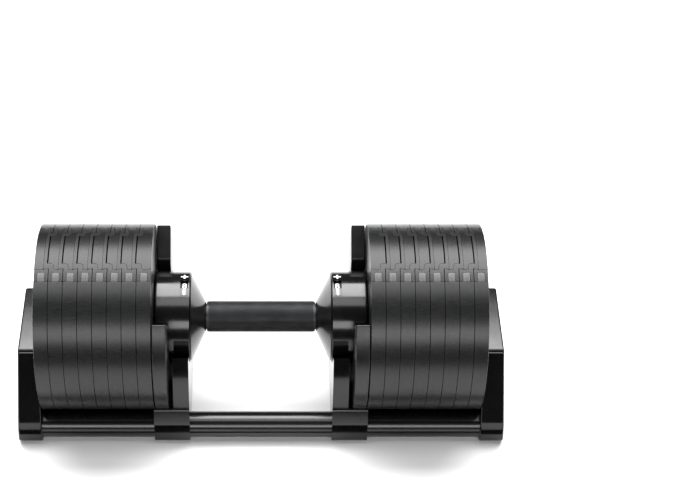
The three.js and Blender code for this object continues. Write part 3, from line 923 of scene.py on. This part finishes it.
def build_handle():
    stands_for(knurled_grip(), "grip", [LOOKS["grip"], CRESTS], smooth=20)
    radius = (SPRING_HIGH.x - SPRING_LOW.x) / 2 - SPRING_WIRE
    for name, side in SIDES:
        stands_for(on_side(housing_shape(side), side), f"housing_{name}", rim=HOUSING_R)
        stands_for(on_side(cone_shape(), side), f"cone_{name}")
        stands_for(on_side(dial_shape(), side), f"number_dial_{name}")
        spring = coil(radius, SPRING_WIRE, SPRING_TURNS, SPRING_LOW.z + SPRING_WIRE,
                      SPRING_HIGH.z - SPRING_WIRE, (SPRING_LOW.x + SPRING_HIGH.x) / 2)
        stands_for(on_side(spring, side), f"lock_spring_{name}")
        sill = on_side(sill_shape(), side)
        finished(sill, f"window_cover_{name}", "dumbbell", [LOOKS["shell"]])
        finished(plus_mark(side), f"plus_mark_{name}", "dumbbell", [PRINT])
        finished(index_mark(side), f"index_mark_{name}", "dumbbell", [PRINT])
        finished(dial_marks(side), f"dial_numbers_{name}", "grip", [PRINT])


# ---- tray -------------------------------------------------------------------------------------
def cradle_shape():
    """The U-shaped plate, whose mouth widens at 45 degrees up to its tips."""
    tip = Vector((PLATE_R * math.sin(CRADLE_TIP), AXIS + PLATE_R * math.cos(CRADLE_TIP)))
    mouth = tip.y - (tip.x - CRADLE_MOUTH)
    outer = arc(PLATE_R, CRADLE_TIP, math.pi, 100, (0, AXIS))
    inner = arc(CRADLE_MOUTH, math.pi, math.pi / 2, 48, (0, AXIS))
    right = [*reversed(outer[:-1]), (CRADLE_MOUTH, mouth), *reversed(inner[1:])]
    outline = [(0, AXIS - PLATE_R), *right, inner[0], *mirrored(right)]
    return bevel(along_x(outline, CRADLE_LOW.x, CRADLE_HIGH.x), 1.2, 4)


def rail_bar(grow, y, low, high):
    """A bar as thick as a rail, or thicker by grow all round."""
    circle = arc(RAIL_R + grow, 0, 2 * math.pi, RAIL_SIDES, (y, RAIL_Z))[:-1]
    return along_x(circle, low, high)


def rail_shape(node):
    low, high = box_mm(node)
    y = (low.y + high.y) / 2
    bar = rail_bar(0, y, low.x, high.x)
    return bevel(cut(bar, rail_bar(-RAIL_WALL, y, low.x - 1, high.x + 1)), 0.3, angle=50)


def foot_room(node):
    """The recess for one of the rubber strips."""
    low, high = box_mm(node)
    return block((low.x - GAP, high.x + GAP), (low.y - GAP, high.y + GAP), (0, high.z + GAP))


def end_cap_shape():
    """The tray's end: slanted front and back, an outer face that leans in, and a hollow."""
    low, high = CAP_LOW, CAP_HIGH
    half, top, base = high.y, high.z, low.z
    shoulder = CAP_SHOULDER
    corners = [(-half, base), (half, base), (half, shoulder), (CAP_TOP_HALF, top),
               (-CAP_TOP_HALF, top), (-half, shoulder)]
    cap = along_x(rounded(corners, CAP_CORNERS, 12), low.x, high.x + 1)
    lean = (high.x - CAP_OUT_X) / (top - base)
    past = 9
    beyond = [(high.x + past * lean, base - past), (CAP_OUT_X - past * lean, top + past),
              (LONG, top + past), (LONG, base - past)]
    cut(cap, pushed(beyond, -LONG, LONG, lambda a, b, depth: (a, depth, b)))
    bevel(cap, 1.8, 5, angle=40)
    inset = CAP_WALL
    pocket = [(-half + inset, base + inset), (half - inset, base + inset),
              (half - inset, shoulder - inset / 2), (CAP_TOP_HALF - inset / 2, top - inset),
              (-CAP_TOP_HALF + inset / 2, top - inset), (-half + inset, shoulder - inset / 2)]
    cut(cap, along_x(rounded(pocket, 4), low.x - 1, CAP_OUT_X - CAP_WALL))
    for rail in ("front_rail", "rear_rail_right"):
        rail_low, rail_high = box_mm(rail)
        y = (rail_low.y + rail_high.y) / 2
        cut(cap, rail_bar(GAP, y, low.x - 1, rail_high.x + GAP))
    return cut(cap, foot_room("foot_end_right"))


def stand_shape():
    """Two arms that carry the housing in a saddle, on a wider block that holds the rails."""
    top, base = STAND_HIGH.z, STAND_LOW.z
    front_r = (top - BLOCK_TOP) / math.cos(STAND_LEAN)
    centre = (BLOCK_TOP_HALF - front_r, BLOCK_TOP)
    front = arc(front_r, math.pi / 2, STAND_LEAN, 24, centre)
    tip = Vector(front[-1])
    drop = tip.y - AXIS
    total = tip.x + drop
    slope = (total - math.sqrt(total**2 - 2 * (tip.x**2 + drop**2 - SADDLE_R**2))) / 2
    mouth = (tip.x - slope, tip.y - slope)
    angle = math.atan2(mouth[0], mouth[1] - AXIS)
    saddle = arc(SADDLE_R, angle, math.pi, 60, (0, AXIS))
    half = [(BLOCK_TOP_HALF, base), *front, *saddle]
    arms = along_x([*half, *mirrored(half[:-1])], STAND_LOW.x, STAND_ARM_OUT)
    corners = [(-BLOCK_HALF, base), (BLOCK_HALF, base), (BLOCK_HALF, BLOCK_SLOPE_Z),
               (BLOCK_TOP_HALF, BLOCK_TOP), (-BLOCK_TOP_HALF, BLOCK_TOP),
               (-BLOCK_HALF, BLOCK_SLOPE_Z)]
    outline = rounded(corners, BLOCK_CORNERS, 8)
    join(arms, along_x(outline, STAND_LOW.x, STAND_HIGH.x))
    cut(arms, cylinder(PLATE_R + GAP, STAND_ARM_OUT, LONG))
    bevel(arms, 1.3, 4)
    cut(arms, cylinder(SADDLE_R, 0, STAND_ARM_OUT + 20, BORE_SIDES))
    cut(arms, rail_bar(GAP, RAIL_Y, 0, LONG))
    rear_low, rear_high = box_mm("rear_rail_right")
    cut(arms, rail_bar(GAP, (rear_low.y + rear_high.y) / 2, rear_low.x - GAP, LONG))
    return cut(arms, foot_room("foot_stand_right"))


def build_tray():
    stands_for(rail_shape("front_rail"), "front_rail")
    for name, side in SIDES:
        stands_for(on_side(end_cap_shape(), side), f"end_cap_{name}")
        stands_for(on_side(stand_shape(), side), f"inner_stand_{name}")
        cradle = on_side(cradle_shape(), side)
        stands_for(cradle, f"cradle_plate_{name}", [CRADLE], rim=PLATE_R)
        stands_for(rail_shape(f"rear_rail_{name}"), f"rear_rail_{name}")


def dress_cad_nodes():
    """The CAD nodes that stay in view get their slot's material."""
    for node, obj in frame["nodes"].items():
        if not obj.hide_render:
            obj.data.materials.clear()
            obj.data.materials.append(LOOKS[SLOT_OF[node]])


# ---- stage ------------------------------------------------------------------------------------
# Everything here is in metres. A light's angle is in degrees from straight up, towards the user.
VIEW_ELEVATION = math.radians(44.5)
VIEW_DISTANCE = 1.86
LENS = 98.6
SHIFT = (0.1157, 0.1015)
FLOOR_X, FLOOR_Y = 4.0, (-0.42, 5.0)
# the black card is painted shade: it darkens the floor just before the tray, in reflections only
FLAG_X, FLAG_Y, FLAG_Z = 0.5, (-0.122, -0.096), 0.0006
BACKDROP, AMBIENT = 1.0, 0.04
SOFTBOXES = (  # name, angle, distance, size, strength
    ("back_top_softbox", -25, 1.2, (2.2, 0.88), 12),
    ("overhead_softbox", 9, 1.25, (2.2, 0.44), 3.4),
    ("front_softbox", 66.5, 1.35, (2.0, 0.42), 5.5),
)


def add_camera():
    data = bpy.data.cameras.new("camera")
    data.sensor_width = 36
    data.lens = LENS
    data.shift_x, data.shift_y = SHIFT
    camera = bpy.data.objects.new("camera", data)
    target = Vector((0, 0, AXIS / METRE))
    back = Vector((0, -math.cos(VIEW_ELEVATION), math.sin(VIEW_ELEVATION)))
    camera.location = target + back * VIEW_DISTANCE
    camera.rotation_euler = (-back).to_track_quat("-Z", "Y").to_euler()
    scene.collection.objects.link(camera)
    scene.camera = camera


def softbox(name, angle, distance, size, strength):
    """A rectangular light that faces the grip."""
    data = bpy.data.lights.new(name, "AREA")
    data.shape = "RECTANGLE"
    data.size, data.size_y = size
    data.energy = strength * size[0] * size[1] * math.pi
    lamp = bpy.data.objects.new(name, data)
    turn = math.radians(angle)
    out = Vector((0, -math.sin(turn), math.cos(turn)))
    lamp.location = Vector((0, 0, AXIS / METRE)) + out * distance
    lamp.rotation_euler = out.to_track_quat("Z", "Y").to_euler()
    lamp.visible_camera = False
    scene.collection.objects.link(lamp)


def card(name, x, y, z, look):
    """A level rectangle from -x to x."""
    bm = bmesh.new()
    corners = [(-x, y[0], z), (x, y[0], z), (x, y[1], z), (-x, y[1], z)]
    bm.faces.new([bm.verts.new(c) for c in corners])
    made = solid(bm, name)
    made.data.materials.append(look.material)
    return made


def add_floor():
    look = Look("floor", (0.74, 0.74, 0.74), 0.6, specular=0.2)
    floor = card("floor", FLOOR_X, FLOOR_Y, 0, look)


def add_shade_card():
    """A black card before the tray, which only reflections see: painted shade standing in for the shadowed floor
    just before the tray, seen in its lower faces.
    """
    look = Look("flag", (0.001, 0.001, 0.001), 0.9, specular=0.0)
    flag = card("painted_shade_card", FLAG_X, FLAG_Y, FLAG_Z, look)
    flag.visible_camera = flag.visible_diffuse = flag.visible_shadow = False


def add_world():
    """A white backdrop for the camera, and dark surroundings for the reflections."""
    world = bpy.data.worlds.new("studio")
    world.use_nodes = True
    nodes, links = world.node_tree.nodes, world.node_tree.links
    seen, lit = nodes["Background"], nodes.new("ShaderNodeBackground")
    seen.inputs["Color"].default_value = (1, 1, 1, 1)
    seen.inputs["Strength"].default_value = BACKDROP
    lit.inputs["Color"].default_value = (1, 1, 1, 1)
    lit.inputs["Strength"].default_value = AMBIENT
    mix, path = nodes.new("ShaderNodeMixShader"), nodes.new("ShaderNodeLightPath")
    links.new(path.outputs["Is Camera Ray"], mix.inputs["Fac"])
    links.new(lit.outputs["Background"], mix.inputs[1])
    links.new(seen.outputs["Background"], mix.inputs[2])
    links.new(mix.outputs["Shader"], nodes["World Output"].inputs["Surface"])
    scene.world = world


add_camera()
add_floor()
add_world()
add_shade_card()
for settings in SOFTBOXES:
    softbox(*settings)
scene.view_settings.view_transform = "Standard"

build_stacks()
build_handle()
build_tray()
dress_cad_nodes()
